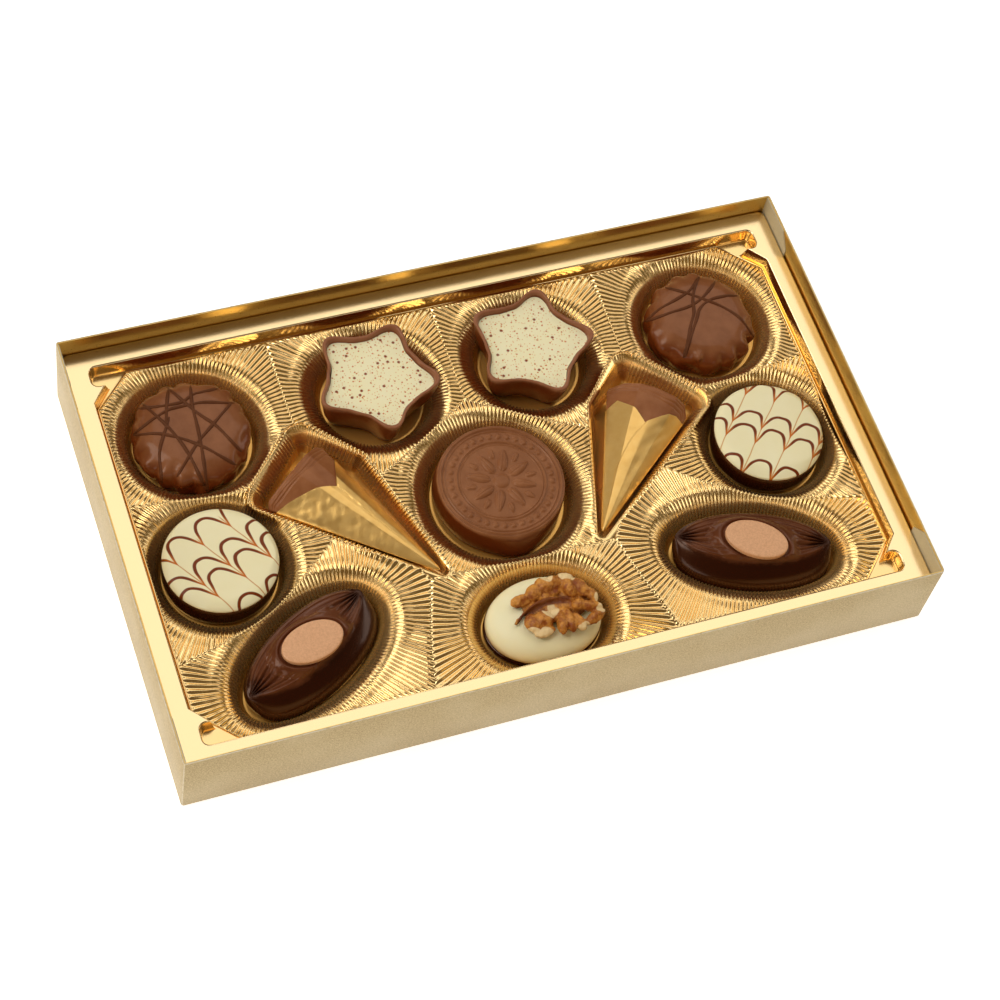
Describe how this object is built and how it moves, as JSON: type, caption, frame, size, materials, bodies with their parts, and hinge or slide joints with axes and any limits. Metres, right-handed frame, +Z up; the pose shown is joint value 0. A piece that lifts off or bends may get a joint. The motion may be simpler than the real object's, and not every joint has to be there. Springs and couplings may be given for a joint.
{
  "type": "box of chocolate pralines",
  "caption": "Open low card box with a ribbed gold insert whose wells hold assorted pralines: drizzled rounds, star cups, marbled discs, foil cones, boats, a medallion and a walnut praline.",
  "frame": {"origin": "centre of the card box's underside", "axes": "+X along the long side, to the right as seen from the front; +Y towards the back, where the star cups are; +Z up"},
  "size_m": [0.205, 0.125, 0.025],
  "materials": {
    "card": "matt champagne card with a fine metallic grain, mirror gold inside",
    "gold_sheet": "thin gold-metallised formed sheet, bright on its ribs",
    "gold_foil": "smooth gold foil with soft folds",
    "milk_chocolate": "milk chocolate, satin on top and glossier on its sides",
    "dark_chocolate": "dark chocolate with a soft gloss",
    "cream": "pale cream filling with brown specks",
    "white_chocolate": "white chocolate, feathered with brown lines on the discs",
    "blond_chocolate": "bare pale caramel oval",
    "walnut": "walnut kernel with darker skin in its folds"
  },
  "bodies": {
    "root": {"boat_left": "dark_chocolate", "boat_plaque_left": "blond_chocolate", "boat_plaque_right": "blond_chocolate", "boat_right": "dark_chocolate", "card_box": "card", "cone_chocolate_left": "milk_chocolate", "cone_chocolate_right": "milk_chocolate", "cone_foil_left": "gold_foil", "cone_foil_right": "gold_foil", "disc_base_left": "dark_chocolate", "disc_base_right": "dark_chocolate", "disc_icing_left": "white_chocolate", "disc_icing_right": "white_chocolate", "insert_tray": "gold_sheet", "medallion": "milk_chocolate", "star_cream_left": "cream", "star_cream_right": "cream", "star_shell_left": "milk_chocolate", "star_shell_right": "milk_chocolate", "truffle_left": "milk_chocolate", "truffle_right": "milk_chocolate", "walnut_base": "dark_chocolate", "walnut_coat": "white_chocolate", "walnut_half": "walnut"}
  },
  "joints": []
}
